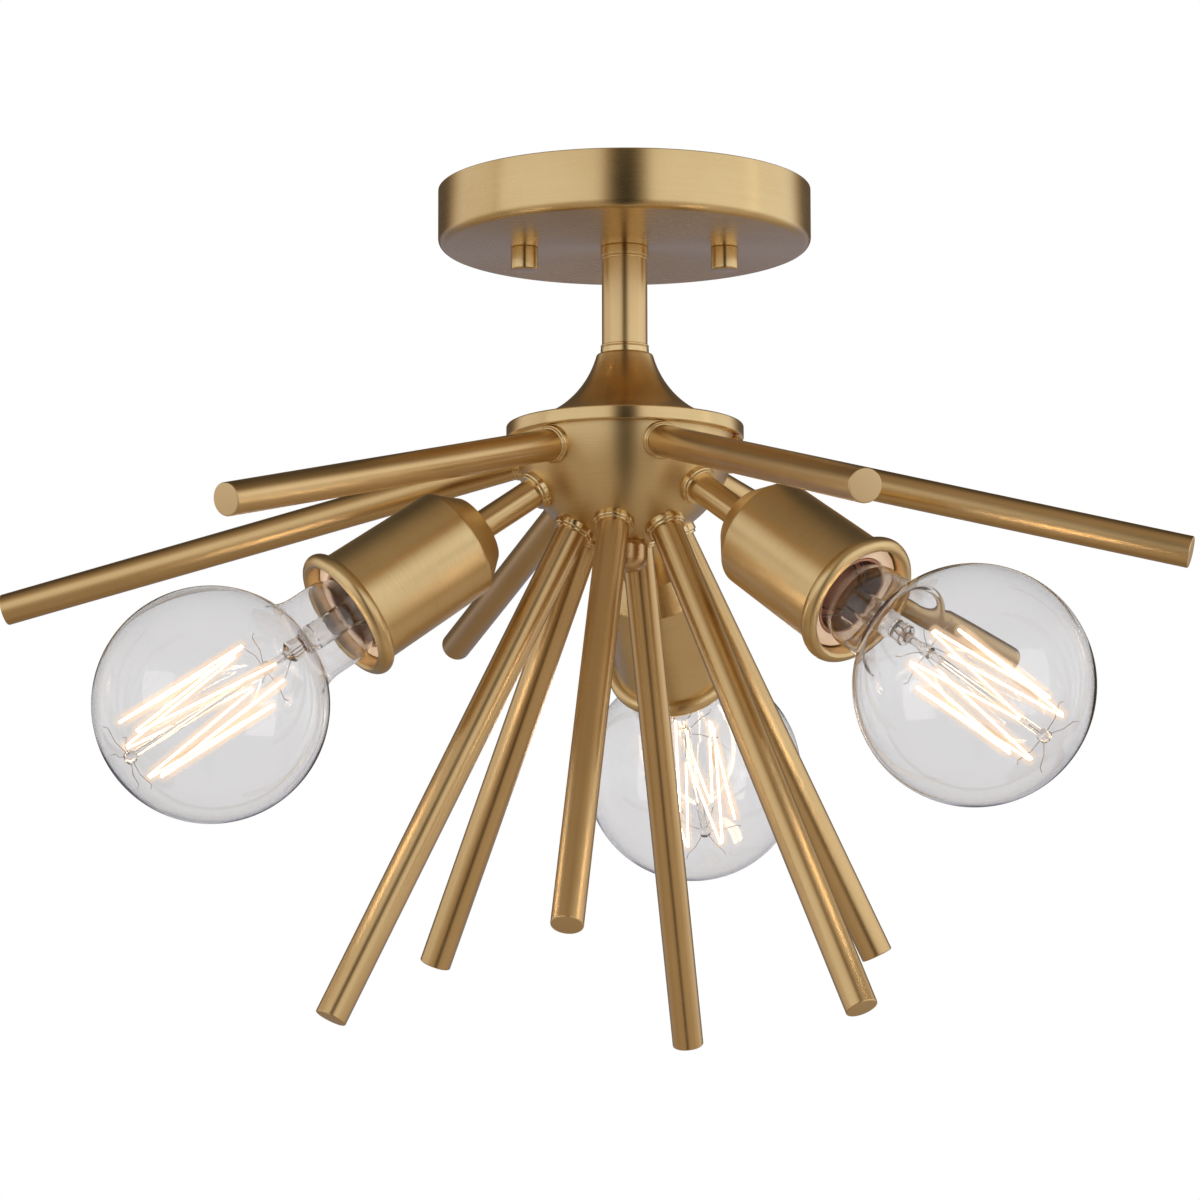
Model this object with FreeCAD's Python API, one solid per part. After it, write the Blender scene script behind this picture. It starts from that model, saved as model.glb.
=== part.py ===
import FreeCAD, Part
import math
import os

# Semi flush ceiling light: a canopy on a short stem, a hub with twelve round rods
# set like a starburst, and three arms with bare globe bulbs.
#
# Millimetres, +Z up. The origin is the centre of the ceiling plane, where the canopy's
# rim and the crossbar's top face lie. The cap nuts and the crossbar lie along X.
# A ray's turn is its compass angle seen from above, from -Y towards +X. Its drop is
# its angle below level. Stations along a ray are distances from the ray's centre.

# ---- clearances ----
thread_gap = 0.05        # radial, in every bore that a thread or shaft fills
hole_gap = 0.15          # radial, in plain holes round the threaded pipe
seat_gap = 0.3           # between neighbours that don't touch
smallest_run = 1e-6      # shorter steps of an outline are left out

# ---- canopy ----
canopy_d = 130.2
canopy_depth = 20.5
canopy_wall = 1.2
canopy_corner_r = 3.0
stud_hole_d = 5.2

# ---- crossbar and its fasteners ----
bar_length = 110.0
bar_width = 19.0
bar_thick = 2.0
cap_spacing = 69.85      # between the two studs, and so between the cap nuts
box_spacing = 88.9       # between the two slots for the outlet box's screws
slot_length = 10.0
slot_width = 4.8
stud_d = 4.17
stud_engage = 5.5        # stud inside each cap nut
stud_nut_flats = 8.7
stud_nut_height = 3.2
ground_x = 18.0
ground_head_d = 8.0
ground_head_height = 2.6
cap_nut_d = 9.5
cap_nut_height = 8.0
cap_nut_bore_depth = 6.5
cap_nut_edge = 0.5

# ---- threaded pipe and stem ----
pipe_d = 10.2
pipe_bore_d = 6.6
pipe_above_nut = 1.6
pipe_nut_flats = 15.0
pipe_nut_height = 4.0
washer_d = 17.0
washer_thick = 1.2
stem_d = 15.875
stem_wall = 1.2
stem_length = 30.2
collar_d = 16.8
collar_edge = 0.4
collar_boss_height = 2.0
top_collar_height = 4.6
bottom_collar_height = 3.2

# ---- neck, hub plate, bowl and finial ----
neck_height = 25.2
neck_top_r = 10.1
neck_edge = 1.2
neck_mid_r = 16.1
neck_mid_share = 0.5     # share of the height at which the outline has neck_mid_r
neck_foot_r = 37.5
neck_foot_land = 0.5     # straight edge of the foot, on the plate
plate_overhang = 2.65    # how far the plate's rim stands out past the bowl
plate_thick = 4.9
plate_edge_r = 0.7
plate_boss_height = 2.0
bowl_r = 38.6
bowl_center_rise = 2.0   # the middle of the bowl's ball is this far above its rim
bowl_wall = 3.0
finial_d = 15.4
finial_height = 10.5
finial_edge_r = 4.8
finial_bore_depth = 5.5
finial_end_gap = 0.5

# ---- rods and ferrules ----
rods_per_ring = 6
rod_d = 11.1
long_rod = 191.6         # from the bowl to the tip
short_rod = 162.6
rod_edge = 0.4
rod_stud_d = 6.0
stud_inside = 1.5        # thread that shows inside the bowl
root_gap = 0.3           # between the bowl and the square end of a rod or arm
upper_ferrule_d = 13.0
lower_ferrule_d = 14.2    # on the lower rods and the arms
ferrule_base = 1.4
ferrule_step = 1.0
ferrule_step_in = 0.55
ferrule_sink = 1.2
upper_turn = 18.5
upper_drop = 14.0
lower_turn = 47.0
lower_drop = 63.3
lower_center_rise = 2.0  # the lower rods point at a spot this far above the others' centre

# ---- lamp arms ----
socket_turns = {"right": 49.5, "left": -70.5, "back": 169.5}
socket_drop = 34.5
arm_d = 10.2
arm_bore_d = 5.0
arm_thread_d = 8.0
arm_length = 27.05       # from the bowl to the cup
arm_nut_flats = 12.0
arm_nut_height = 3.5

# ---- socket cup ----
cup_wall = 1.0
cup_back_r = 12.5
cup_shoulder_r = 19.75
cup_shoulder_length = 9.0
cup_mouth_r = 20.5
cup_length = 58.5
lip_r = 23.5
lip_width = 6.0

# ---- lampholder, screw shell and contact ----
holder_boss_r = 9.5
holder_boss_length = 6.2
holder_body_length = 36.8
holder_front_length = 5.7
holder_floor = 8.5       # from the back of the body to the floor of its bore
holder_bore_r = 14.5
shell_wall = 0.35
shell_length = 33.6
shell_foot = 0.5
shell_hole_r = 9.0
contact_d = 8.0
contact_thick = 0.8

# ---- bulb, with an E26 screw base ----
globe_r = 40.0
globe_height = 68.15     # from the glass's end to the globe's centre
glass_wall = 0.8
base_r = 13.1
base_wall = 0.5
thread_depth = 0.5
thread_pitch = 3.63
thread_turns = 5
base_band = 2.6
base_foot_length = 3.0
base_foot_r = 7.0
tip_r = 4.6
tip_length = 1.4
glass_end_r = 13.0
glass_end_length = 8.5
neck_glass_r = 15.2
neck_flare = 5.5
neck_straight = 9.65
neck_blend_r = 18.8
neck_blend_share = 0.25  # share of the blend's width that it has at neck_blend_rise
neck_blend_rise = 0.65   # share of the blend's length
stem_flare_r = 9.0
stem_flare_length = 8.0
stem_tube_r = 4.7
press_height = 35.15     # from the glass's end to the top of the pinched part
press_length = 8.0
press_r = 3.9
stem_rod_r = 1.35
button_r = 2.2
button_height = 3.0
cage_r = 12.0
cage_start = 45.15       # from the glass's end to the near bends of the filament
cage_length = 56.5
cage_bends = 11          # near and far bends by turns
cage_span = 330.0        # degrees round the bulb's axis, from the first bend to the last
filament_r = 0.4
support_r = 0.25

# ---- worked out from the sizes above ----
canopy_floor_z = canopy_wall - canopy_depth
collar_top_z = -canopy_depth
stem_top_z = collar_top_z - top_collar_height
stem_bottom_z = stem_top_z - stem_length
neck_top_z = stem_bottom_z - bottom_collar_height
plate_top_z = neck_top_z - neck_height
plate_bottom_z = plate_top_z - plate_thick
plate_r = bowl_r + plate_overhang
bowl_center_z = plate_bottom_z + bowl_center_rise
finial_top_z = bowl_center_z - math.sqrt(bowl_r ** 2 - (finial_d / 2) ** 2)
pipe_top_z = canopy_floor_z + washer_thick + pipe_nut_height + pipe_above_nut
pipe_bottom_z = finial_top_z - finial_bore_depth + finial_end_gap
pipe_hole_r = pipe_d / 2 + hole_gap

upper_ferrule_r = upper_ferrule_d / 2
lower_ferrule_r = lower_ferrule_d / 2
upper_root_depth = seat_gap + upper_ferrule_r * math.cos(math.radians(upper_drop))
upper_root_r = math.sqrt(bowl_r ** 2 - (upper_root_depth + bowl_center_rise) ** 2)
ray_center_z = plate_bottom_z - upper_root_depth + upper_root_r * math.tan(math.radians(upper_drop))
lower_center_z = ray_center_z + lower_center_rise


def bowl_station(center_z, drop):
    """Distance from a ray's centre to the bowl's outer face."""
    rise = center_z - bowl_center_z
    angle = math.radians(drop)
    return rise * math.sin(angle) + math.sqrt(bowl_r ** 2 - (rise * math.cos(angle)) ** 2)


arm_root = bowl_station(ray_center_z, socket_drop)
cup_back = arm_root + arm_length
cup_mouth = cup_back + cup_length
holder_back = cup_back + cup_wall + arm_nut_height + seat_gap
holder_body = holder_back + holder_boss_length
holder_front = holder_body + holder_body_length + holder_front_length
holder_bottom = holder_body + holder_floor
base_tip = holder_bottom + contact_thick + seat_gap
base_foot = base_tip + tip_length
thread_start = base_foot + base_foot_length
glass_end = thread_start + thread_turns * thread_pitch + base_band
globe_station = glass_end + globe_height
cage_near = glass_end + cage_start
cage_far = cage_near + cage_length
shell_inner_r = base_r + seat_gap
through_wall = 3 * bowl_wall    # reach of a drill inside the bowl's face
eighth_turn = math.radians(45)
bend_share = 1 - math.sqrt(0.5)    # of a corner's radius, to the middle of its arc


# ---- shapes ----
def turned(start, *steps):
    """Solid of revolution about Z. A step is an (r, z) point, or (middle, end) of an arc."""
    edges = []
    here = start
    for step in steps + (start,):
        is_arc = isinstance(step[0], tuple)
        end = step[1] if is_arc else step
        a = FreeCAD.Vector(here[0], 0, here[1])
        b = FreeCAD.Vector(end[0], 0, end[1])
        if is_arc:
            middle = FreeCAD.Vector(step[0][0], 0, step[0][1])
            edges.append(Part.Arc(a, middle, b).toShape())
        elif a.distanceToPoint(b) > smallest_run:
            edges.append(Part.LineSegment(a, b).toShape())
        here = end
    face = Part.Face(Part.Wire(edges))
    return face.revolve(FreeCAD.Vector(0, 0, 0), FreeCAD.Vector(0, 0, 1), 360)


def cylinder(radius, z0, z1, x=0.0, y=0.0):
    low = min(z0, z1)
    return Part.makeCylinder(radius, abs(z1 - z0), FreeCAD.Vector(x, y, low))


def tube(outer_r, inner_r, z0, z1, x=0.0, y=0.0):
    return cylinder(outer_r, z0, z1, x, y).cut(cylinder(inner_r, z0, z1, x, y))


def polar(radius, angle, z):
    return FreeCAD.Vector(radius * math.cos(angle), radius * math.sin(angle), z)


def hex_nut(flats, bore_r, z0, z1, x=0.0, y=0.0):
    corner_r = flats / math.sqrt(3)
    points = []
    for corner in range(7):
        angle = math.radians(60 * corner)
        points.append(polar(corner_r, angle, z0) + FreeCAD.Vector(x, y, 0))
    prism = Part.Face(Part.makePolygon(points)).extrude(FreeCAD.Vector(0, 0, z1 - z0))
    return prism.cut(cylinder(bore_r, z0, z1, x, y))


def wire_chain(points, radius):
    """Round wire through the points, with a ball at each bend."""
    pieces = []
    for a, b in zip(points, points[1:]):
        pieces.append(Part.makeCylinder(radius, a.distanceToPoint(b), a, b - a))
    for bend in points[1:-1]:
        pieces.append(Part.makeSphere(radius, bend))
    return pieces[0].fuse(pieces[1:])


def on_ray(shape, turn, drop, center_z):
    """Moves a shape built along +Z so that +Z becomes the ray's direction."""
    tilt = FreeCAD.Rotation(FreeCAD.Vector(1, 0, 0), 90 + drop)
    spin = FreeCAD.Rotation(FreeCAD.Vector(0, 0, 1), turn)
    moved = shape.copy()
    moved.Placement = FreeCAD.Placement(FreeCAD.Vector(0, 0, center_z), spin.multiply(tilt))
    return moved


def on_socket_ray(shape, side):
    return on_ray(shape, socket_turns[side], socket_drop, ray_center_z)


# ---- ceiling hardware ----
def make_crossbar():
    corner = FreeCAD.Vector(-bar_length / 2, -bar_width / 2, -bar_thick)
    bar = Part.makeBox(bar_length, bar_width, bar_thick, corner)
    bar = bar.cut(cylinder(pipe_hole_r, -bar_thick, 0))
    bar = bar.cut(cylinder(stud_d / 2 + thread_gap, -bar_thick, 0, ground_x))
    for side in (-1, 1):
        bar = bar.cut(cylinder(stud_d / 2 + thread_gap, -bar_thick, 0, side * cap_spacing / 2))
        half_run = (slot_length - slot_width) / 2
        center = side * box_spacing / 2
        corner = FreeCAD.Vector(center - half_run, -slot_width / 2, -bar_thick)
        slot = Part.makeBox(2 * half_run, slot_width, bar_thick, corner)
        near_end = cylinder(slot_width / 2, -bar_thick, 0, center - half_run)
        far_end = cylinder(slot_width / 2, -bar_thick, 0, center + half_run)
        bar = bar.cut(slot.fuse([near_end, far_end]))
    return bar


def make_studs():
    bottom = -canopy_depth - stud_engage
    return [cylinder(stud_d / 2, bottom, 0, side * cap_spacing / 2) for side in (-1, 1)]


def make_stud_nuts():
    bottom = -bar_thick - stud_nut_height
    bore = stud_d / 2 + thread_gap
    return [hex_nut(stud_nut_flats, bore, bottom, -bar_thick, side * cap_spacing / 2) for side in (-1, 1)]


def make_ground_screw():
    shank = cylinder(stud_d / 2, -bar_thick, 0, ground_x)
    head = cylinder(ground_head_d / 2, -bar_thick - ground_head_height, -bar_thick, ground_x)
    return shank.fuse(head).removeSplitter()


def make_canopy():
    outer_r = canopy_d / 2
    inner_r = outer_r - canopy_wall
    bend = canopy_corner_r * bend_share
    inner_corner = canopy_corner_r - canopy_wall
    inner_bend = inner_corner * bend_share
    shell = turned(
        (outer_r, 0),
        (outer_r, canopy_corner_r - canopy_depth),
        ((outer_r - bend, bend - canopy_depth), (outer_r - canopy_corner_r, -canopy_depth)),
        (pipe_hole_r, -canopy_depth),
        (pipe_hole_r, canopy_floor_z),
        (inner_r - inner_corner, canopy_floor_z),
        ((inner_r - inner_bend, canopy_floor_z + inner_bend), (inner_r, canopy_floor_z + inner_corner)),
        (inner_r, 0))
    for side in (-1, 1):
        shell = shell.cut(cylinder(stud_hole_d / 2, -canopy_depth, canopy_floor_z, side * cap_spacing / 2))
    return shell


def make_cap_nut(side):
    outer_r = cap_nut_d / 2
    bore_r = stud_d / 2 + thread_gap
    nut = turned(
        (bore_r, 0),
        (outer_r, 0),
        (outer_r, cap_nut_edge - cap_nut_height),
        (outer_r - cap_nut_edge, -cap_nut_height),
        (0, -cap_nut_height),
        (0, -cap_nut_bore_depth),
        (bore_r, -cap_nut_bore_depth))
    nut.translate(FreeCAD.Vector(side * cap_spacing / 2, 0, -canopy_depth))
    return nut


# ---- stem ----
def make_pipe():
    return tube(pipe_d / 2, pipe_bore_d / 2, pipe_bottom_z, pipe_top_z)


def make_pipe_hardware():
    bore = pipe_d / 2 + thread_gap
    washer_top = canopy_floor_z + washer_thick
    washer = tube(washer_d / 2, bore, canopy_floor_z, washer_top)
    nut = hex_nut(pipe_nut_flats, bore, washer_top, washer_top + pipe_nut_height)
    return [washer, nut]


def make_collar(top_z, height, boss_z, boss_direction):
    """Ring between the stem tube and its neighbour, with a boss that centres the tube."""
    outer_r = collar_d / 2
    ring = turned(
        (pipe_hole_r, top_z),
        (outer_r - collar_edge, top_z),
        (outer_r, top_z - collar_edge),
        (outer_r, top_z - height + collar_edge),
        (outer_r - collar_edge, top_z - height),
        (pipe_hole_r, top_z - height))
    boss_r = stem_d / 2 - stem_wall - thread_gap
    boss = tube(boss_r, pipe_hole_r, boss_z, boss_z + boss_direction * collar_boss_height)
    return ring.fuse(boss)


def make_stem_tube():
    return tube(stem_d / 2, stem_d / 2 - stem_wall, stem_bottom_z, stem_top_z)


# ---- hub ----
def make_neck():
    return turned(
        (pipe_hole_r, neck_top_z),
        (neck_top_r - neck_edge, neck_top_z),
        (neck_top_r, neck_top_z - neck_edge),
        ((neck_mid_r, neck_top_z - neck_mid_share * neck_height),
         (neck_foot_r, plate_top_z + neck_foot_land)),
        (neck_foot_r, plate_top_z),
        (pipe_hole_r, plate_top_z))


def make_hub_plate():
    outer_r = plate_r
    bend = plate_edge_r * bend_share
    boss_depth = plate_boss_height + bowl_center_rise
    boss_r = math.sqrt((bowl_r - bowl_wall) ** 2 - boss_depth ** 2) - hole_gap
    return turned(
        (pipe_hole_r, plate_top_z),
        (outer_r - plate_edge_r, plate_top_z),
        ((outer_r - bend, plate_top_z - bend), (outer_r, plate_top_z - plate_edge_r)),
        (outer_r, plate_bottom_z + plate_edge_r),
        ((outer_r - bend, plate_bottom_z + bend), (outer_r - plate_edge_r, plate_bottom_z)),
        (boss_r, plate_bottom_z),
        (boss_r, plate_bottom_z - plate_boss_height),
        (pipe_hole_r, plate_bottom_z - plate_boss_height))


def ring_rods():
    """Each rod's name, turn, drop, ray centre and length. Long and short rods take turns."""
    rods = []
    step = 360 / rods_per_ring
    for ring, turn, drop, center_z in (("upper", upper_turn, upper_drop, ray_center_z),
                                       ("lower", lower_turn, lower_drop, lower_center_z)):
        for place in range(rods_per_ring):
            length = long_rod if place % 2 == 0 else short_rod
            rods.append((f"rod_{ring}_{place + 1}", turn + place * step, drop, center_z, length))
    return rods


def make_bowl():
    centre = FreeCAD.Vector(0, 0, bowl_center_z)
    inner_r = bowl_r - bowl_wall
    bowl = Part.makeSphere(bowl_r, centre).cut(Part.makeSphere(inner_r, centre))
    keep = cylinder(bowl_r, finial_top_z, plate_bottom_z)
    bowl = bowl.common(keep).cut(cylinder(pipe_hole_r, finial_top_z, plate_bottom_z))
    for _, turn, drop, center_z, _ in ring_rods():
        station = bowl_station(center_z, drop)
        hole = cylinder(rod_stud_d / 2 + thread_gap, station - through_wall, station + bowl_wall)
        bowl = bowl.cut(on_ray(hole, turn, drop, center_z))
    for side in socket_turns:
        hole = cylinder(arm_thread_d / 2 + thread_gap, arm_root - through_wall, arm_root + bowl_wall)
        bowl = bowl.cut(on_socket_ray(hole, side))
    return bowl


def make_finial():
    outer_r = finial_d / 2
    bore_r = pipe_d / 2 + thread_gap
    bottom = finial_top_z - finial_height
    bend = finial_edge_r * bend_share
    return turned(
        (bore_r, finial_top_z),
        (outer_r, finial_top_z),
        (outer_r, bottom + finial_edge_r),
        ((outer_r - bend, bottom + bend), (outer_r - finial_edge_r, bottom)),
        (0, bottom),
        (0, finial_top_z - finial_bore_depth),
        (bore_r, finial_top_z - finial_bore_depth))


# ---- rods and ferrules ----
def make_rod(turn, drop, center_z, length):
    root = bowl_station(center_z, drop)
    body = cylinder(rod_d / 2, root + root_gap, root + length)
    tip = [edge for edge in body.Edges if edge.BoundBox.ZMin > root + length - rod_edge]
    body = body.makeChamfer(rod_edge, tip)
    stud = cylinder(rod_stud_d / 2, root - bowl_wall - stud_inside, root + root_gap)
    return on_ray(body.fuse(stud), turn, drop, center_z)


def make_ferrule(ring_r, bore_r, turn, drop, center_z):
    """Stepped ring round a root, hollowed to sit on the bowl."""
    root = bowl_station(center_z, drop)
    shoulder = root + ferrule_base
    ring = cylinder(ring_r, root - ferrule_sink, shoulder)
    ring = ring.fuse(cylinder(ring_r - ferrule_step_in, shoulder, shoulder + ferrule_step))
    ring = ring.cut(cylinder(bore_r, root - ferrule_sink, shoulder + ferrule_step))
    placed = on_ray(ring, turn, drop, center_z)
    return placed.cut(Part.makeSphere(bowl_r + thread_gap, FreeCAD.Vector(0, 0, bowl_center_z)))


# ---- arm, cup and lampholder ----
def make_arm():
    body = cylinder(arm_d / 2, arm_root + root_gap, cup_back)
    inner_thread = cylinder(arm_thread_d / 2, arm_root - bowl_wall - stud_inside, arm_root + root_gap)
    outer_thread = cylinder(arm_thread_d / 2, cup_back, holder_back + seat_gap)
    arm = body.fuse([inner_thread, outer_thread])
    return arm.cut(cylinder(arm_bore_d / 2, arm_root - through_wall, holder_back + cup_length))


def make_arm_nut():
    start = cup_back + cup_wall
    return hex_nut(arm_nut_flats, arm_thread_d / 2 + thread_gap, start, start + arm_nut_height)


def cup_inner_r(station):
    """Inner radius of the cup's tapered side at a station."""
    start = cup_back + cup_shoulder_length
    share = (station - start) / (cup_mouth - lip_width - start)
    return cup_shoulder_r - cup_wall + share * (cup_mouth_r - cup_shoulder_r)


def make_cup():
    shoulder = cup_back + cup_shoulder_length
    lip_start = cup_mouth - lip_width
    hole_r = arm_thread_d / 2 + hole_gap
    return turned(
        (hole_r, cup_back),
        (cup_back_r, cup_back),
        (cup_shoulder_r, shoulder),
        (cup_mouth_r, lip_start),
        ((lip_r, lip_start + lip_width / 2), (cup_mouth_r, cup_mouth)),
        (cup_mouth_r - cup_wall, cup_mouth - cup_wall),
        (cup_inner_r(lip_start), lip_start),
        (cup_inner_r(shoulder), shoulder),
        (cup_back_r - cup_wall / 2, cup_back + cup_wall),
        (hole_r, cup_back + cup_wall))


def make_lampholder():
    body_r = cup_inner_r(holder_body) - seat_gap
    front_start = holder_front - holder_front_length
    front_r = cup_inner_r(front_start) - seat_gap
    hole_r = arm_thread_d / 2 + hole_gap
    return turned(
        (hole_r, holder_back),
        (holder_boss_r, holder_back),
        (holder_boss_r, holder_body),
        (body_r, holder_body),
        (body_r, front_start),
        (front_r, front_start),
        (front_r, holder_front),
        (holder_bore_r, holder_front),
        (holder_bore_r, holder_bottom),
        (arm_bore_d / 2, holder_bottom),
        (arm_bore_d / 2, holder_back + arm_bore_d),
        (hole_r, holder_back + arm_bore_d))


def make_contact():
    return cylinder(contact_d / 2, holder_bottom, holder_bottom + contact_thick)


def make_screw_shell():
    """Thin threaded liner. Closed rings stand in for its thread."""
    outer_r = shell_inner_r + shell_wall
    foot_top = holder_bottom + shell_foot
    wave_start = foot_top + thread_pitch
    wave_end = wave_start + thread_turns * thread_pitch
    front = holder_bottom + shell_length
    outward = []
    inward = []
    for ring in range(thread_turns):
        low = wave_start + ring * thread_pitch
        high = low + thread_pitch
        middle = (low + high) / 2
        outward.append(((outer_r + thread_depth, middle), (outer_r, high)))
        inward.insert(0, ((shell_inner_r + thread_depth, middle), (shell_inner_r, low)))
    return turned(
        (shell_hole_r, holder_bottom),
        (outer_r, holder_bottom),
        (outer_r, wave_start),
        *outward,
        (outer_r, front),
        (shell_inner_r, front),
        (shell_inner_r, wave_end),
        *inward,
        (shell_inner_r, foot_top),
        (shell_hole_r, foot_top))


# ---- bulb ----
def glass_outline(shrink):
    """Turned solid of the bulb's glass, drawn in all round by shrink."""
    end_r = glass_end_r - shrink
    neck_r = neck_glass_r - shrink
    ball_r = globe_r - shrink
    flare_start = glass_end + glass_end_length
    neck_start = flare_start + neck_flare
    neck_end = neck_start + neck_straight
    blend_r = neck_blend_r - shrink
    blend_end = globe_station - math.sqrt(ball_r ** 2 - blend_r ** 2)
    blend_middle = (neck_r + neck_blend_share * (blend_r - neck_r),
                    neck_end + neck_blend_rise * (blend_end - neck_end))
    steep = eighth_turn + eighth_turn / 2
    lower_middle = (ball_r * math.cos(eighth_turn / 2), globe_station - ball_r * math.sin(eighth_turn / 2))
    upper_join = (ball_r * math.cos(eighth_turn), globe_station + ball_r * math.sin(eighth_turn))
    upper_middle = (ball_r * math.cos(steep), globe_station + ball_r * math.sin(steep))
    return turned(
        (0, glass_end + shrink),
        (end_r, glass_end + shrink),
        (end_r, flare_start),
        (neck_r, neck_start),
        (neck_r, neck_end),
        (blend_middle, (blend_r, blend_end)),
        (lower_middle, upper_join),
        (upper_middle, (0, globe_station + ball_r)))


def make_glass():
    return glass_outline(0).cut(glass_outline(glass_wall))


def make_base():
    """Screw base. Closed rings stand in for its thread."""
    root_r = base_r - thread_depth
    rings = []
    for ring in range(thread_turns):
        low = thread_start + ring * thread_pitch
        rings.append(((base_r, low + thread_pitch / 2), (root_r, low + thread_pitch)))
    return turned(
        (0, base_tip),
        (tip_r, base_tip),
        (tip_r, base_foot),
        (base_foot_r, base_foot),
        (root_r, thread_start),
        *rings,
        (root_r, glass_end),
        (root_r - base_wall, glass_end),
        (root_r - base_wall, thread_start + base_wall),
        (0, thread_start + base_wall))


def make_glass_stem():
    """Flared tube with a pinched top, and a thin glass rod with a button at each end of the cage."""
    floor = glass_end + glass_wall
    press_top = glass_end + press_height
    half_button = button_height / 2
    return turned(
        (0, floor),
        (stem_flare_r, floor),
        (stem_tube_r, floor + stem_flare_length),
        (stem_tube_r, press_top - press_length),
        (press_r, press_top - press_length),
        (press_r, press_top),
        (stem_rod_r, press_top),
        (stem_rod_r, cage_near - half_button),
        (button_r, cage_near - half_button),
        (button_r, cage_near + half_button),
        (stem_rod_r, cage_near + half_button),
        (stem_rod_r, cage_far - half_button),
        (button_r, cage_far - half_button),
        (button_r, cage_far + half_button),
        (0, cage_far + half_button))


def cage_points():
    """Bends of the filament, near and far by turns, round a circle."""
    points = []
    for bend in range(cage_bends):
        angle = math.radians(cage_span) * bend / (cage_bends - 1)
        station = cage_far if bend % 2 else cage_near
        points.append(polar(cage_r, angle, station))
    return points


def make_filament():
    return wire_chain(cage_points(), filament_r)


def make_supports():
    """A wire from a button of the glass stem to each bend of the filament."""
    wires = []
    start_r = button_r + thread_gap
    end_r = cage_r - filament_r - thread_gap
    for bend in cage_points():
        outward = FreeCAD.Vector(bend.x, bend.y, 0).normalize()
        start = FreeCAD.Vector(0, 0, bend.z) + outward * start_r
        wires.append(Part.makeCylinder(support_r, end_r - start_r, start, outward))
    return Part.makeCompound(wires)


# ---- export ----
def one_shape(shape):
    return Part.makeCompound(shape) if isinstance(shape, list) else shape


def all_nodes():
    nodes = {
        "crossbar": make_crossbar(),
        "crossbar_studs": make_studs(),
        "stud_lock_nuts": make_stud_nuts(),
        "ground_screw": make_ground_screw(),
        "canopy": make_canopy(),
        "cap_nut_left": make_cap_nut(-1),
        "cap_nut_right": make_cap_nut(1),
        "threaded_pipe": make_pipe(),
        "pipe_nut_and_washer": make_pipe_hardware(),
        "stem_collar_top": make_collar(collar_top_z, top_collar_height, stem_top_z, -1),
        "stem_tube": make_stem_tube(),
        "stem_collar_bottom": make_collar(stem_bottom_z, bottom_collar_height, stem_bottom_z, 1),
        "neck": make_neck(),
        "hub_plate": make_hub_plate(),
        "hub_bowl": make_bowl(),
        "finial": make_finial(),
    }
    rods = ring_rods()
    for name, turn, drop, center_z, length in rods:
        nodes[name] = make_rod(turn, drop, center_z, length)
    rod_bore = rod_d / 2 + thread_gap
    arm_bore = arm_d / 2 + thread_gap
    nodes["rod_ferrules"] = []
    nodes["arm_ferrules"] = []
    for name, turn, drop, center_z, _ in rods:
        ring_r = upper_ferrule_r if "upper" in name else lower_ferrule_r
        nodes["rod_ferrules"].append(make_ferrule(ring_r, rod_bore, turn, drop, center_z))
    for turn in socket_turns.values():
        ring = make_ferrule(lower_ferrule_r, arm_bore, turn, socket_drop, ray_center_z)
        nodes["arm_ferrules"].append(ring)
    nodes["arm_nuts"] = [on_socket_ray(make_arm_nut(), side) for side in socket_turns]
    nodes["center_contacts"] = [on_socket_ray(make_contact(), side) for side in socket_turns]
    for side in socket_turns:
        nodes[f"arm_{side}"] = on_socket_ray(make_arm(), side)
        nodes[f"cup_{side}"] = on_socket_ray(make_cup(), side)
        nodes[f"lampholder_{side}"] = on_socket_ray(make_lampholder(), side)
        nodes[f"screw_shell_{side}"] = on_socket_ray(make_screw_shell(), side)
        nodes[f"bulb_{side}_glass"] = on_socket_ray(make_glass(), side)
        nodes[f"bulb_{side}_base"] = on_socket_ray(make_base(), side)
        nodes[f"bulb_{side}_stem"] = on_socket_ray(make_glass_stem(), side)
        nodes[f"bulb_{side}_supports"] = on_socket_ray(make_supports(), side)
        nodes[f"bulb_{side}_filament"] = on_socket_ray(make_filament(), side)
    return nodes


os.makedirs("parts", exist_ok=True)
for node, shape in all_nodes().items():
    one_shape(shape).exportStep(f"parts/{node}.step")
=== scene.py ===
import math

import bpy
from mathutils import Matrix, Vector


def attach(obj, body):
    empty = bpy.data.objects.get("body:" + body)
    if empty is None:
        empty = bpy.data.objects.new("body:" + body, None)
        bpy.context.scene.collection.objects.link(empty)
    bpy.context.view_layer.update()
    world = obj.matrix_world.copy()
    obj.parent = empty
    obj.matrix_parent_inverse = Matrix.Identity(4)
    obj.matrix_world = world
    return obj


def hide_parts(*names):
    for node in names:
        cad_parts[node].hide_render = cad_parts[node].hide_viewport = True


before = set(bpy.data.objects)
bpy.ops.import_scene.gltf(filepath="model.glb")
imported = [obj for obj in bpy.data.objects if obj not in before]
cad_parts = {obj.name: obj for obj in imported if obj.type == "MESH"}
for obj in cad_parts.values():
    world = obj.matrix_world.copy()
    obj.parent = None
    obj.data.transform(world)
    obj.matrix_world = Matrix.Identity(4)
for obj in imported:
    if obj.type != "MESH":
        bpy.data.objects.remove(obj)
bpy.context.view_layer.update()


# ---- Camera ----
# The photograph was taken from about 1.8 m away and a little below the lamp, looking up at it
# through a long lens.
camera_place = Vector((-0.0249, -1.8442, -0.4251))
camera_up_tilt = math.radians(8.64)
camera_yaw = math.radians(0.5)
camera_roll = math.radians(-0.12)
camera_lens = 161.84
film_width = 36.0

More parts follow.
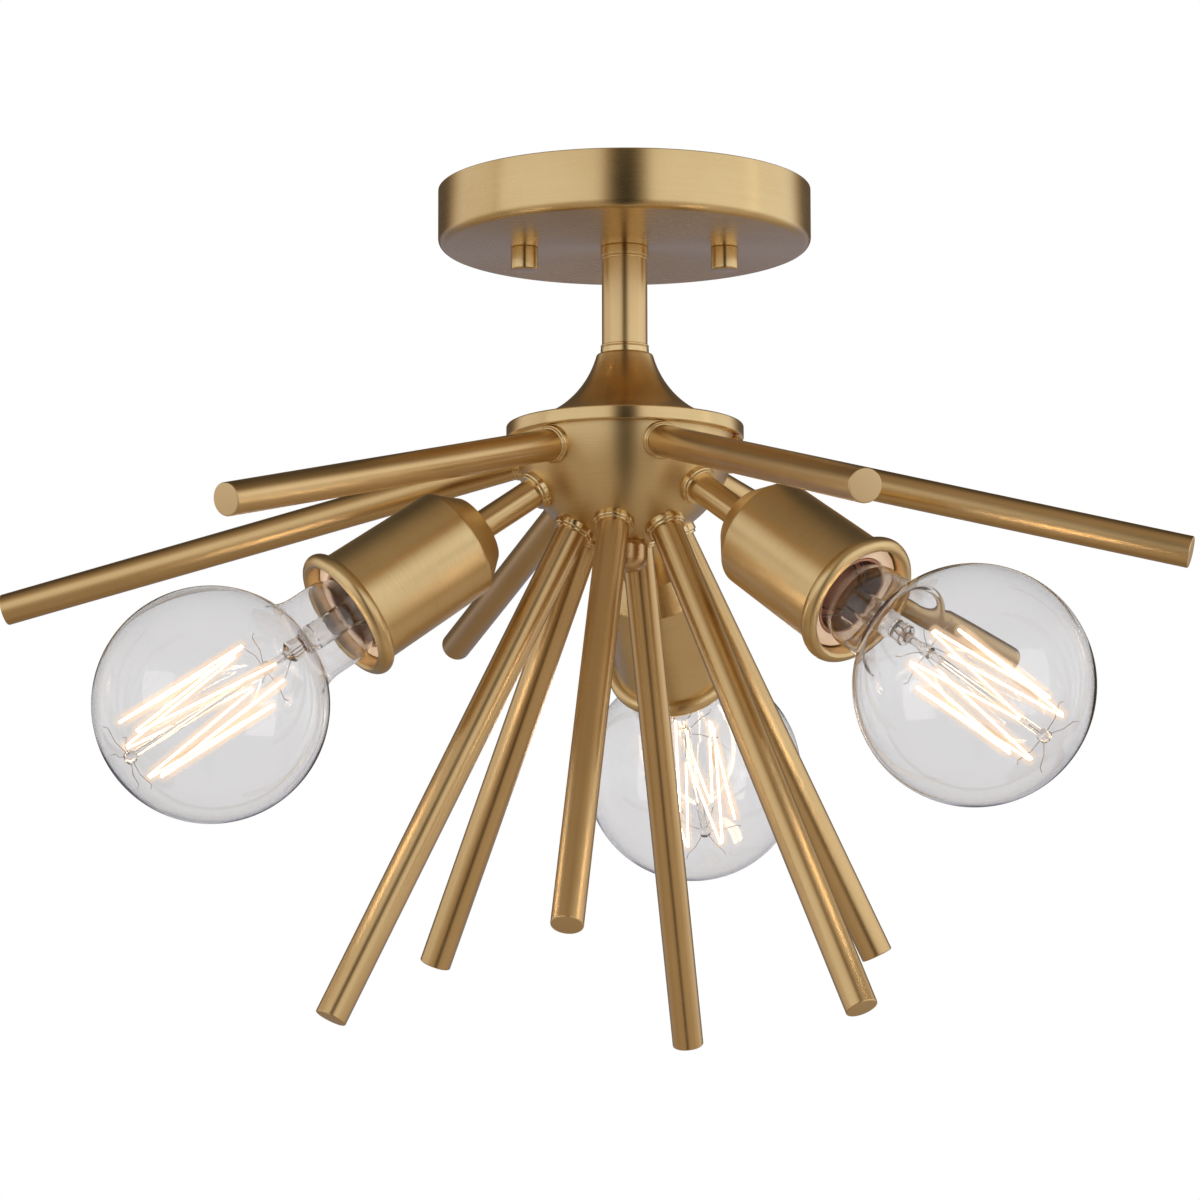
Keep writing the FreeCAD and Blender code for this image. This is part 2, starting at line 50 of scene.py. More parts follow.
sight = Vector((math.sin(camera_yaw) * math.cos(camera_up_tilt),
                math.cos(camera_yaw) * math.cos(camera_up_tilt),
                math.sin(camera_up_tilt)))
level = Vector((math.cos(camera_yaw), -math.sin(camera_yaw), 0))
upright = level.cross(sight)
frame_right = level * math.cos(camera_roll) + upright * math.sin(camera_roll)
frame_up = upright * math.cos(camera_roll) - level * math.sin(camera_roll)
camera_turn = Matrix((frame_right, frame_up, -sight)).transposed()

camera_data = bpy.data.cameras.new("camera")
camera_data.sensor_width = film_width
camera_data.lens = camera_lens
camera = bpy.data.objects.new("camera", camera_data)
camera.matrix_world = Matrix.Translation(camera_place) @ camera_turn.to_4x4()
bpy.context.collection.objects.link(camera)
bpy.context.scene.camera = camera
bpy.context.scene.view_settings.view_transform = "Standard"


# ---- Canopy ----
# A shallow round pan spun from sheet brass, with a soft lower corner. Its satin grain runs
# round the rim and in circles over the underside. Two cap nuts draw it up to the ceiling.
MM = 0.001
canopy_r = 65.1
canopy_depth = 20.5
canopy_wall = 1.2
canopy_corner = 3.0
canopy_rim_edge = 0.4
pipe_hole_r = 5.25
sharp_crease = math.radians(32)


def rounded_corner(before, corner, after, radius, steps=6):
    """Points of the arc that rounds one corner of an outline."""
    corner = Vector(corner)
    back = (Vector(before) - corner).normalized()
    ahead = (Vector(after) - corner).normalized()
    half = back.angle(ahead) / 2
    centre = corner + (back + ahead).normalized() * (radius / math.sin(half))
    first = (corner + back * (radius / math.tan(half)) - centre).normalized()
    last = (corner + ahead * (radius / math.tan(half)) - centre).normalized()
    return [tuple(centre + first.slerp(last, step / steps) * radius) for step in range(steps + 1)]


def outline(*corners):
    """A closed outline of (radius, height) corners. A third number rounds that corner."""
    points = []
    for place, (r, z, *rounding) in enumerate(corners):
        if rounding:
            after = corners[(place + 1) % len(corners)]
            points += rounded_corner(corners[place - 1][:2], (r, z), after[:2], rounding[0])
        else:
            points.append((r, z))
    return points


def turned(name, points, around=96, at=(0, 0, 0)):
    """A mesh turned about an upright axis from an outline in millimetres. Its attribute
    "spun" holds the turn's cosine and sine and the distance along the outline."""
    vertices, spun, rings = [], [], []
    along = 0.0
    for place, (r, z) in enumerate(points):
        if place:
            along += math.dist(points[place - 1], (r, z))
        if r < 1e-6:
            rings.append([len(vertices)] * around)
            vertices.append((0, 0, z))
            spun.append((0, 0, along * MM))
            continue
        rings.append(range(len(vertices), len(vertices) + around))
        for step in range(around):
            turn = math.tau * step / around
            vertices.append((r * math.cos(turn), r * math.sin(turn), z))
            spun.append((math.cos(turn), math.sin(turn), along * MM))
    faces = []
    for place, ring in enumerate(rings):
        following = rings[(place + 1) % len(rings)]
        for step in range(around):
            ahead = (step + 1) % around
            face = []
            for index in (ring[step], ring[ahead], following[ahead], following[step]):
                if index not in face:
                    face.append(index)
            if len(face) > 2:
                faces.append(face)
    volume = 0.0
    for face in faces:
        for second, third in zip(face[1:], face[2:]):
            a, b, c = (Vector(vertices[index]) for index in (face[0], second, third))
            volume += a.dot(b.cross(c))
    if volume < 0:
        faces = [face[::-1] for face in faces]
    mesh = bpy.data.meshes.new(name)
    moved = [tuple((Vector(vertex) + Vector(at)) * MM) for vertex in vertices]
    mesh.from_pydata(moved, [], faces)
    stored = mesh.attributes.new("spun", "FLOAT_VECTOR", "POINT")
    stored.data.foreach_set("vector", [number for entry in spun for number in entry])
    mesh.shade_smooth()
    mesh.set_sharp_from_angle(angle=sharp_crease)
    return mesh


class Wire:
    """A value on its way between two nodes. Arithmetic on it adds Math nodes."""

    def __init__(self, nodes, socket):
        self.nodes = nodes
        self.socket = socket

    def worked(self, operation, *values):
        return self.nodes.add("ShaderNodeMath", {"operation": operation}, dict(enumerate(values)))

    def __add__(self, other):
        return self.worked("ADD", self, other)

    def __sub__(self, other):
        return self.worked("SUBTRACT", self, other)

    def __rsub__(self, other):
        return self.worked("SUBTRACT", other, self)

    def __mul__(self, other):
        return self.worked("MULTIPLY", self, other)

    def __truediv__(self, other):
        return self.worked("DIVIDE", self, other)

    __radd__ = __add__
    __rmul__ = __mul__


class Nodes:
    """A node tree being filled. add() makes any node and gives back one of its outputs."""

    def __init__(self, tree):
        self.tree = tree
        tree.nodes.clear()

    def add(self, kind, settings=None, sockets=None, output=0):
        made = self.tree.nodes.new(kind)
        for setting, value in (settings or {}).items():
            setattr(made, setting, value)
        for socket, value in (sockets or {}).items():
            if isinstance(value, Wire):
                self.tree.links.new(value.socket, made.inputs[socket])
            else:
                made.inputs[socket].default_value = value
        return Wire(self, made.outputs[output]) if len(made.outputs) else None

    def noise(self, coordinates, scale, detail=2.0, roughness=0.5):
        return self.add("ShaderNodeTexNoise", {}, {"Vector": coordinates, "Scale": scale,
                                                   "Detail": detail, "Roughness": roughness})

    def between(self, value, low, high, start=0.0, end=1.0):
        """A smooth ramp from start to end as the value goes from low to high."""
        return self.add("ShaderNodeMapRange", {"interpolation_type": "SMOOTHSTEP"},
                        {"Value": value, "From Min": low, "From Max": high,
                         "To Min": start, "To Max": end})

    def tint(self, share, first, second):
        """The first colour, turning into the second as the share goes from 0 to 1."""
        return self.add("ShaderNodeMix", {"data_type": "RGBA"}, {0: share, 6: first, 7: second},
                        output=2)


def new_material(name):
    material = bpy.data.materials.new(name)
    material.use_nodes = True
    return material, Nodes(material.node_tree)


def satin_brass(name, grain, dark, light, roughness=0.28, relief=0.000004, coat=0.18, smear=0.0,
                end_disc=0.0, end_colour=(0.86, 0.66, 0.38, 1)):
    """Lacquered brass, brushed. The grain is drawn out by the three stretches of "spun".
    Mirrored lights smear across the grain of a piece that is turned about the lamp's own axis.
    A flat face within end_disc of the outline's start is duller and has its own colour."""
    material, nodes = new_material(name)
    spun = nodes.add("ShaderNodeAttribute", {"attribute_name": "spun"}, output="Vector")
    drawn_out = nodes.add("ShaderNodeVectorMath", {"operation": "MULTIPLY"}, {0: spun, 1: grain})
    lines = nodes.noise(drawn_out, 1.0, detail=4.0, roughness=0.65)
    place = nodes.add("ShaderNodeTexCoord", output="Object")
    clouds = nodes.noise(place, 38.0, detail=3.0)
    share = nodes.between(lines * 0.45 + clouds * 0.55, 0.3, 0.7)
    colour = nodes.tint(share, dark, light)
    dullness = lines * 0.08 + clouds * 0.06 + (roughness - 0.07)
    if end_disc:
        along = nodes.add("ShaderNodeSeparateXYZ", {}, {0: spun}, output="Z")
        cut = nodes.between(along, end_disc - 0.0003, end_disc, 1.0, 0.0)
        colour = nodes.tint(cut, colour, end_colour)
        dullness = dullness + cut * 0.25
    relief_lines = nodes.add("ShaderNodeBump", {}, {
        "Strength": 1.0, "Distance": relief, "Height": lines})
    shader = nodes.add("ShaderNodeBsdfPrincipled", {}, {
        "Base Color": colour, "Metallic": 1.0, "Roughness": dullness, "Normal": relief_lines,
        "Coat Weight": coat, "Coat Roughness": 0.2, "Anisotropic": smear,
        "Anisotropic Rotation": 0.25})
    nodes.add("ShaderNodeOutputMaterial", {}, {"Surface": shader})
    return material


def show(name, mesh, material, body, slot, *stands_for):
    """Puts a finished mesh in the scene, riding on its body in place of its CAD nodes."""
    piece = bpy.data.objects.new(name, mesh)
    bpy.context.collection.objects.link(piece)
    mesh.materials.clear()
    mesh.materials.append(material)
    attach(piece, body)
    if stands_for:
        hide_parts(*stands_for)
    return piece


brass_dark = (0.73, 0.53, 0.26, 1)
brass_light = (0.83, 0.63, 0.33, 1)
spun_brass = satin_brass("spun_brass", (2.0, 2.0, 2600.0), brass_dark, brass_light, smear=0.75)

canopy_mesh = turned("canopy_pan", outline(
    (pipe_hole_r, canopy_wall - canopy_depth),
    (pipe_hole_r, -canopy_depth),
    (canopy_r, -canopy_depth, canopy_corner),
    (canopy_r, 0, canopy_rim_edge),
    (canopy_r - canopy_wall, 0),
    (canopy_r - canopy_wall, canopy_wall - canopy_depth, canopy_corner - canopy_wall)), around=160)
show("canopy_pan", canopy_mesh, spun_brass, "fixture", "satin_brass", "canopy")


# ---- Cap nuts ----
# Two small turned brass nuts, each closed at its lower end, screwed up onto the studs that
# come down through the canopy. Their edges are lightly rounded.
cap_nut_r = 4.75
cap_nut_height = 8.0
cap_nut_bore = 2.14
cap_nut_bore_depth = 6.5
cap_nut_top_edge = 0.3
cap_nut_low_edge = 0.7
cap_nut_x = 34.925

fine_brass = satin_brass("fine_brass", (3.0, 3.0, 3500.0), brass_dark, brass_light, roughness=0.24)
for side, offset in (("left", -cap_nut_x), ("right", cap_nut_x)):
    nut_mesh = turned("cap_nut", outline(
        (0, -cap_nut_bore_depth),
        (cap_nut_bore, -cap_nut_bore_depth),
        (cap_nut_bore, 0),
        (cap_nut_r, 0, cap_nut_top_edge),
        (cap_nut_r, -cap_nut_height, cap_nut_low_edge),
        (0, -cap_nut_height)), around=64, at=(offset, 0, -canopy_depth))
    show(f"cap_nut_{side}_turned", nut_mesh, fine_brass, f"{side}_cap_nut", "satin_brass",
         f"cap_nut_{side}")


# ---- Ceiling hardware ----
# A zinc plated crossbar with its studs, nuts and washer, and the threaded pipe that holds the
# whole stack together. The canopy hides them. The ground screw is green.
zinc, nodes = new_material("zinc_plate")
place = nodes.add("ShaderNodeTexCoord", output="Object")
spangle = nodes.add("ShaderNodeTexVoronoi", {}, {"Vector": place, "Scale": 520.0})
scuffs = nodes.noise(place, 160.0, detail=4.0)
zinc_colour = nodes.tint(nodes.between(scuffs, 0.35, 0.65),
                         (0.50, 0.50, 0.49, 1), (0.66, 0.66, 0.64, 1))
zinc_relief = nodes.add("ShaderNodeBump", {}, {
    "Strength": 0.5, "Distance": 0.00003, "Height": spangle})
zinc_shader = nodes.add("ShaderNodeBsdfPrincipled", {}, {
    "Base Color": zinc_colour, "Metallic": 1.0, "Roughness": scuffs * 0.2 + 0.22,
    "Normal": zinc_relief})
nodes.add("ShaderNodeOutputMaterial", {}, {"Surface": zinc_shader})

green, nodes = new_material("green_ground_screw")
place = nodes.add("ShaderNodeTexCoord", output="Object")
rubbed = nodes.noise(place, 420.0, detail=3.0)
green_colour = nodes.tint(nodes.between(rubbed, 0.4, 0.7),
                          (0.03, 0.22, 0.07, 1), (0.08, 0.34, 0.13, 1))
green_shader = nodes.add("ShaderNodeBsdfPrincipled", {}, {
    "Base Color": green_colour, "Metallic": 0.7, "Roughness": rubbed * 0.2 + 0.25})
nodes.add("ShaderNodeOutputMaterial", {}, {"Surface": green_shader})

for node, plating in (("crossbar", zinc), ("crossbar_studs", zinc), ("stud_lock_nuts", zinc),
                      ("threaded_pipe", zinc), ("pipe_nut_and_washer", zinc), ("arm_nuts", zinc),
                      ("ground_screw", green)):
    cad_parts[node].data.materials.clear()
    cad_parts[node].data.materials.append(plating)


# ---- Stem ----
# A drawn brass tube between two thin turned collars. The tube's grain runs up and down, and
# the collars' grain runs round.
stem_r = 7.94
stem_wall = 1.2
stem_top = -25.1
stem_bottom = -55.3
neck_top = -58.5
collar_r = 8.4
collar_top_edge = 0.35
collar_low_edge = 0.3
groove_depth = 0.2
groove_half = 0.3
groove_edge = 0.1
groove_over_stem = 1.1
groove_under_stem = 0.9

drawn_brass = satin_brass("drawn_brass", (12.0, 12.0, 18.0), (0.73, 0.52, 0.26, 1),
                          (0.78, 0.57, 0.29, 1), roughness=0.3, relief=0.000001)
stem_mesh = turned("stem", outline(
    (stem_r - stem_wall, stem_bottom),
    (stem_r - stem_wall, stem_top),
    (stem_r, stem_top),
    (stem_r, stem_bottom)))
show("stem", stem_mesh, drawn_brass, "fixture", "satin_brass", "stem_tube")

for name, top, bottom, groove, node in (
        ("collar_top", -canopy_depth, stem_top, stem_top + groove_over_stem, "stem_collar_top"),
        ("collar_bottom", stem_bottom, neck_top, stem_bottom - groove_under_stem,
         "stem_collar_bottom")):
    collar_mesh = turned(name, outline(
        (pipe_hole_r, bottom),
        (pipe_hole_r, top),
        (collar_r, top, collar_top_edge),
        (collar_r, groove + groove_half, groove_edge),
        (collar_r - groove_depth, groove, groove_edge),
        (collar_r, groove - groove_half, groove_edge),
        (collar_r, bottom, collar_low_edge)))
    show(name, collar_mesh, fine_brass, "fixture", "satin_brass", node)


# ---- Neck, hub plate and bowl ----
# A turned trumpet stands on a round plate with a broken edge. Under the plate hangs a spun
# bowl, a little less than half a ball, drilled for the rods and arms. The pipe clamps all three.
neck_r = 10.1
neck_lip = 1.2
neck_lip_taper = 0.35
neck_lip_edge = 0.9
neck_middle = (16.1, -71.1)
neck_foot_r = 37.5
neck_foot_height = 0.5
plate_top = -83.7
plate_bottom = -88.6
plate_r = 41.25
plate_edge = 0.7
spigot_height = 2
spigot_gap = 0.3
bowl_r = 38.6
bowl_wall = 3.0
bowl_middle = -86.6
bowl_seat = -124.42


def arc_through(first, middle, last, steps):
    """Points of the circle arc through three points."""
    a, b, c = Vector(first), Vector(middle), Vector(last)
    twice = 2 * ((b - a).x * (c - a).y - (b - a).y * (c - a).x)
    reach_b, reach_c = (b - a).length_squared, (c - a).length_squared
    centre = a + Vector((((c - a).y * reach_b - (b - a).y * reach_c) / twice,
                         ((b - a).x * reach_c - (c - a).x * reach_b) / twice))
    start, half_way, end = ((point - centre).normalized() for point in (a, b, c))
    radius = (a - centre).length
    points = [centre + start.slerp(half_way, step / steps) * radius for step in range(steps)]
    points += [centre + half_way.slerp(end, step / steps) * radius for step in range(steps + 1)]
    return [tuple(point) for point in points]


def ball_arc(middle, radius, start_height, end_height, steps):
    """Points down a ball's side between two heights above or below its middle."""
    first, last = math.asin(start_height / radius), math.asin(end_height / radius)
    angles = [first + (last - first) * step / steps for step in range(steps + 1)]
    return [(radius * math.cos(angle), middle + radius * math.sin(angle)) for angle in angles]


neck_side = arc_through((neck_r, neck_top - neck_lip), neck_middle,
                        (neck_foot_r, plate_top + neck_foot_height), 16)
neck_mesh = turned("neck_trumpet", outline(
    (pipe_hole_r, plate_top),
    (pipe_hole_r, neck_top),
    (neck_r - neck_lip_taper, neck_top, neck_lip_edge),
    *neck_side,
    (neck_foot_r, plate_top)), around=128)
# The neck's brass is a darker copy of the brass on the other pieces: painted shade standing in for
# the dark plate top that the neck mirrors.
shaded_neck_brass = satin_brass("shaded_neck_brass", (2.0, 2.0, 2600.0), (0.64, 0.45, 0.22, 1),
                         (0.73, 0.54, 0.29, 1), roughness=0.3, smear=0.3)
show("neck_trumpet", neck_mesh, shaded_neck_brass, "fixture", "satin_brass", "neck")

spigot_r = bowl_r - bowl_wall - spigot_gap
plate_mesh = turned("hub_flange", outline(
    (pipe_hole_r, plate_bottom - spigot_height),
    (pipe_hole_r, plate_top),
    (plate_r, plate_top, plate_edge),
    (plate_r, plate_bottom, plate_edge),
    (spigot_r, plate_bottom),
    (spigot_r, plate_bottom - spigot_height)), around=160)
show("hub_flange", plate_mesh, spun_brass, "fixture", "satin_brass", "hub_plate")

bowl_mesh = turned("hub_dome", outline(
    (pipe_hole_r, bowl_seat + bowl_wall),
    (pipe_hole_r, bowl_seat),
    *ball_arc(bowl_middle, bowl_r, bowl_seat - bowl_middle, plate_bottom - bowl_middle, 48),
    *ball_arc(bowl_middle, bowl_r - bowl_wall, plate_bottom - bowl_middle,
              bowl_seat - bowl_middle + bowl_wall, 40)), around=160)
bowl_brass = satin_brass("bowl_brass", (2.0, 2.0, 2600.0), brass_dark, brass_light,
                         roughness=0.38, smear=0.7)
show("hub_dome", bowl_mesh, bowl_brass, "fixture", "satin_brass", "hub_bowl")


# ---- Finial ----
# A turned brass knob with full rounded sides. It screws onto the pipe's lower end and holds
# the bowl up against the plate.
finial_r = 7.7
finial_height = 10.5
finial_round = 4.8
finial_thread_r = 5.15
finial_thread_depth = 5.5
finial_top_edge = 0.3
finial_bevel_width = 0.9
finial_bevel_height = 1.6
finial_bevel_edge = 1.0

finial_mesh = turned("finial_bun", outline(
    (0, bowl_seat - finial_thread_depth),
    (finial_thread_r, bowl_seat - finial_thread_depth),
    (finial_thread_r, bowl_seat),
    (finial_r - finial_bevel_width, bowl_seat, finial_top_edge),
    (finial_r, bowl_seat - finial_bevel_height, finial_bevel_edge),
    (finial_r, bowl_seat - finial_height, finial_round),
    (0, bowl_seat - finial_height)), around=96)
finial_brass = satin_brass("finial_brass", (3.0, 3.0, 3500.0), (0.60, 0.38, 0.18, 1),
                           (0.72, 0.49, 0.26, 1))
show("finial_bun", finial_mesh, finial_brass, "finial_knob", "satin_brass", "finial")


# ---- Rods ----
# Twelve round brass plated rods in two rings, long and short by turns, screwed into the bowl
# like rays. Their grain runs lengthwise, and each tip is cut square with a broken edge.
rods_per_ring = 6
rod_step = 60
rod_r = 5.55
rod_edge = 0.5
root_gap = 0.3
long_rod = 191.6
short_rod = 162.6
upper_centre = -85.825
lower_centre = -83.825
upper_drop = math.radians(14.0)
lower_drop = math.radians(63.3)
upper_turn = 18.5
lower_turn = 47.0


def bowl_station(centre, drop):
    """Distance along a ray from its centre on the axis to the bowl's face."""
    rise = centre - bowl_middle
    return rise * math.sin(drop) + math.sqrt(bowl_r ** 2 - (rise * math.cos(drop)) ** 2)


def new_tree(name, inputs):
    """An empty geometry tree with named inputs, and the identifier of each input."""
    tree = bpy.data.node_groups.new(name, "GeometryNodeTree")
    sockets = {}
    for label, kind in inputs.items():
        made = tree.interface.new_socket(label, in_out="INPUT", socket_type=f"NodeSocket{kind}")
        sockets[label] = made.identifier
    tree.interface.new_socket("Geometry", in_out="OUTPUT", socket_type="NodeSocketGeometry")
    return tree, sockets


def run_tree(tree, sockets, mesh, values):
    """The plain mesh that a geometry tree makes of a mesh with these values."""
    holder = bpy.data.objects.new(mesh.name, mesh)
    bpy.context.collection.objects.link(holder)
    modifier = holder.modifiers.new(tree.name, "NODES")
    modifier.node_group = tree
    for label, value in values.items():
        modifier[sockets[label]] = value
    depsgraph = bpy.context.evaluated_depsgraph_get()
    made = bpy.data.meshes.new_from_object(
        holder.evaluated_get(depsgraph), preserve_all_data_layers=True, depsgraph=depsgraph)
    bpy.data.objects.remove(holder)
    return made


ray_tree, ray_sockets = new_tree("copies_round_the_hub", {
    "Geometry": "Geometry", "Copies": "Int", "First Turn": "Float", "Step": "Float", "Drop": "Float",
    "Centre Height": "Float", "Finish": "Material"})
nodes = Nodes(ray_tree)
given = {socket.name: Wire(nodes, socket) for socket in ray_tree.nodes.new("NodeGroupInput").outputs}
copy_number = nodes.add("GeometryNodeInputIndex")
centre_spot = nodes.add("ShaderNodeCombineXYZ", {}, {"Z": given["Centre Height"]})
spots = nodes.add("GeometryNodePoints", {}, {"Count": given["Copies"], "Position": centre_spot})
euler = nodes.add("ShaderNodeCombineXYZ", {}, {
    "X": given["Drop"] + math.pi / 2, "Z": given["First Turn"] + copy_number * given["Step"]})
aim = nodes.add("FunctionNodeEulerToRotation", {}, {0: euler})
copies = nodes.add("GeometryNodeInstanceOnPoints", {}, {
    "Points": spots, "Instance": given["Geometry"], "Rotation": aim})
solid = nodes.add("GeometryNodeRealizeInstances", {}, {0: copies})
finished = nodes.add("GeometryNodeSetMaterial", {}, {"Geometry": solid, "Material": given["Finish"]})
nodes.add("NodeGroupOutput", {}, {"Geometry": finished})


def round_the_hub(mesh, finish, copies, first_turn, drop, centre):
    """Copies of a mesh that points up its own axis, set as rays round the hub."""
    return run_tree(ray_tree, ray_sockets, mesh, {
        "Copies": copies, "First Turn": math.radians(first_turn), "Step": math.tau / copies,
        "Drop": drop, "Centre Height": centre * MM, "Finish": finish})


rod_brass = satin_brass("rod_brass", (7.0, 7.0, 5.0), (0.68, 0.47, 0.22, 1), (0.74, 0.52, 0.255, 1),
                        roughness=0.3, relief=0.000001, end_disc=rod_r * MM)
for ring, turn, drop, centre in (("upper", upper_turn, upper_drop, upper_centre),
                                 ("lower", lower_turn, lower_drop, lower_centre)):
    for length, first, kind in ((long_rod, 0, "long"), (short_rod, 1, "short")):
        root = bowl_station(centre, drop)
        rod_mesh = turned("rod", outline(
            (0, root + length),
            (rod_r, root + length, rod_edge),
            (rod_r, root + root_gap),
            (0, root + root_gap)), around=64)
        rays = round_the_hub(rod_mesh, rod_brass, rods_per_ring // 2, turn + rod_step * first,
                             drop, centre)
        show(f"rods_{ring}_{kind}", rays, rod_brass, "fixture", "rod_brass",
             *[f"rod_{ring}_{place + 1}" for place in range(first, rods_per_ring, 2)])


# ---- Ferrules ----
# A turned brass ring with two beads covers every hole in the bowl. The rod or arm passes
# through it, and its foot follows the bowl.
upper_bead_r = 6.55
lower_bead_r = 7.15
bead_step = 0.55
bead_length = 1.5
bead_edge = 0.65
bead_foot_edge = 0.1
ferrule_length = 2.4
ferrule_edge = 0.4
ferrule_sink = 1.6
ferrule_gap = 0.02
arm_r = 5.1
socket_drop = math.radians(34.5)
socket_turns = {"right": 49.5, "left": -70.5, "back": 169.5}


def ferrule(root, carried_r, bead_r):
    """One ring over a hole in the bowl, pointing up its own axis."""
    bore = carried_r + ferrule_gap
    return turned("ferrule", outline(
        (bore, root - ferrule_sink),
        (bead_r, root - ferrule_sink),
        (bead_r, root + bead_length, bead_edge),
        (bead_r - bead_step, root + bead_length, bead_foot_edge),
        (bead_r - bead_step, root + ferrule_length, ferrule_edge),
        (bore, root + ferrule_length)), around=72)


def along_arms(mesh, finish):
    """A copy of a mesh on each of the three arms."""
    return round_the_hub(mesh, finish, 3, socket_turns["right"], socket_drop, upper_centre)


bead_brass = satin_brass("bead_brass", (4.0, 4.0, 3000.0), brass_dark, (0.86, 0.67, 0.38, 1),
                         roughness=0.2)
for ring, bead_r, turn, drop, centre in (
        ("upper", upper_bead_r, upper_turn, upper_drop, upper_centre),
        ("lower", lower_bead_r, lower_turn, lower_drop, lower_centre)):
    one_ring = ferrule(bowl_station(centre, drop), rod_r, bead_r)
    rings = round_the_hub(one_ring, bead_brass, rods_per_ring, turn, drop, centre)
    show(f"ferrules_{ring}", rings, bead_brass, "fixture", "satin_brass", "rod_ferrules")
arm_root = bowl_station(upper_centre, socket_drop)
arm_rings = along_arms(ferrule(arm_root, arm_r, lower_bead_r), bead_brass)
show("ferrules_arms", arm_rings, bead_brass, "fixture", "satin_brass", "arm_ferrules")


# ---- Arms and cups ----
# Three short tubes carry the lampholders. Each ends in a spun brass cup with a cone shaped
# shoulder and a rolled lip, held by a nut inside it.
arm_length = 27.05
arm_bore_r = 2.5
arm_thread_r = 4.15
cup_length = 58.5
cup_back = arm_root + arm_length
cup_mouth = cup_back + cup_length
cup_wall = 1.0
cup_back_r = 12.5
cup_back_edge = 0.9
cone_length = 9.0
cone_taper_inside = 0.5
cup_shoulder = cup_back + cone_length
cup_shoulder_r = 19.75
cup_shoulder_edge = 1.6
cup_mouth_r = 20.5
lip_r = 23.5
lip_length = 6.0
lip_turn_in = 0.6
lip_start = cup_mouth - lip_length

arm_mesh = turned("arm", outline(
    (arm_bore_r, arm_root + root_gap),
    (arm_r, arm_root + root_gap),
    (arm_r, cup_back),
    (arm_bore_r, cup_back)), around=64)
arms = along_arms(arm_mesh, drawn_brass)
show("arms", arms, drawn_brass, "fixture", "satin_brass", "arm_right", "arm_left", "arm_back")

cup_brass = satin_brass("cup_brass", (2.4, 2.4, 2800.0), brass_dark, brass_light, roughness=0.33)
lip_roll = arc_through((cup_mouth_r, lip_start), (lip_r, (lip_start + cup_mouth) / 2),
                       (cup_mouth_r, cup_mouth), 8)
cup_mesh = turned("cup", outline(
    (arm_thread_r, cup_back + cup_wall),
    (arm_thread_r, cup_back),
    (cup_back_r, cup_back, cup_back_edge),
    (cup_shoulder_r, cup_shoulder, cup_shoulder_edge),
    (cup_mouth_r, lip_start),
    *lip_roll[1:],
    (cup_mouth_r - cup_wall, cup_mouth - lip_turn_in),
    (cup_mouth_r - cup_wall, lip_start),
    (cup_shoulder_r - cup_wall, cup_shoulder),
    (cup_back_r - cone_taper_inside, cup_back + cup_wall)), around=128)
cups = along_arms(cup_mesh, cup_brass)
show("cups", cups, cup_brass, "fixture", "cup_brass", "cup_right", "cup_left", "cup_back")


# ---- Lampholders ----
# A glazed porcelain body fills each cup and shows as a pale ring in its mouth. A threaded
# copper shell with a thin rolled edge lines its bore, with a contact at the bottom.
holder_back = cup_back + 4.8
holder_body = holder_back + 6.2
holder_floor = holder_body + 8.5
holder_front = holder_body + 42.5
holder_boss_r = 9.5
holder_boss_edge = 0.6
holder_foot_edge = 0.4
holder_body_r = 18.4
holder_body_edge = 0.8
holder_r = 19.15
holder_rim = 5.2
holder_rim_foot = 5.7
holder_rim_edge = 1.1
holder_bore = 14.5
holder_bore_edge = 0.7
shell_r = 13.4
shell_wall = 0.35
shell_hole_r = 9.0
shell_floor_top = holder_floor + 0.5
shell_front = holder_floor + 33.6
shell_roll = 0.9
shell_roll_back = 0.4
shell_roll_front = 0.25
roll_edge = 0.3
contact_r = 4.0
contact_height = 0.8
contact_edge = 0.4
thread_pitch = 3.63
thread_depth = 0.5
thread_fade = 1.5
thread_least_r = 8
thread_sampling = 0.45

porcelain, nodes = new_material("glazed_porcelain")
place = nodes.add("ShaderNodeTexCoord", output="Object")
glaze = nodes.noise(place, 90.0, detail=3.0)
specks = nodes.noise(place, 700.0, detail=2.0)
glaze_colour = nodes.tint(nodes.between(glaze, 0.35, 0.65),
                          (0.80, 0.70, 0.60, 1), (0.86, 0.78, 0.69, 1))
glaze_relief = nodes.add("ShaderNodeBump", {}, {
    "Strength": 0.4, "Distance": 0.00004, "Height": specks})
glaze_shader = nodes.add("ShaderNodeBsdfPrincipled", {}, {
    "Base Color": glaze_colour, "Roughness": glaze * 0.15 + 0.22, "Normal": glaze_relief,
    "Coat Weight": 0.4, "Coat Roughness": 0.1})
nodes.add("ShaderNodeOutputMaterial", {}, {"Surface": glaze_shader})

holder_mesh = turned("lampholder", outline(
    (arm_bore_r, holder_floor),
    (arm_bore_r, holder_back),
    (holder_boss_r, holder_back, holder_boss_edge),
    (holder_boss_r, holder_body, holder_foot_edge),
    (holder_body_r, holder_body, holder_body_edge),
    (holder_body_r, holder_front - holder_rim_foot),
    (holder_r, holder_front - holder_rim),
    (holder_r, holder_front, holder_rim_edge),
    (holder_bore, holder_front, holder_bore_edge),
    (holder_bore, holder_floor)), around=96)
holders = along_arms(holder_mesh, porcelain)
show("lampholders", holders, porcelain, "fixture", "porcelain",
     "lampholder_right", "lampholder_left", "lampholder_back")


def threaded(mesh, low, high, depth):
    """Winds a round thread into a turned mesh between two heights. It fades out at both."""
    for vertex in mesh.vertices:
        r = math.hypot(vertex.co.x, vertex.co.y)
        height = vertex.co.z / MM
        if r < thread_least_r * MM or not low < height < high:
            continue
        turn = math.atan2(vertex.co.y, vertex.co.x)
        wave = 0.5 + 0.5 * math.cos(math.tau * height / thread_pitch - turn)
        fade = min(1.0, (height - low) / thread_fade, (high - height) / thread_fade)
        vertex.co.xy *= 1 + depth * MM * wave * fade / r
    mesh.update()


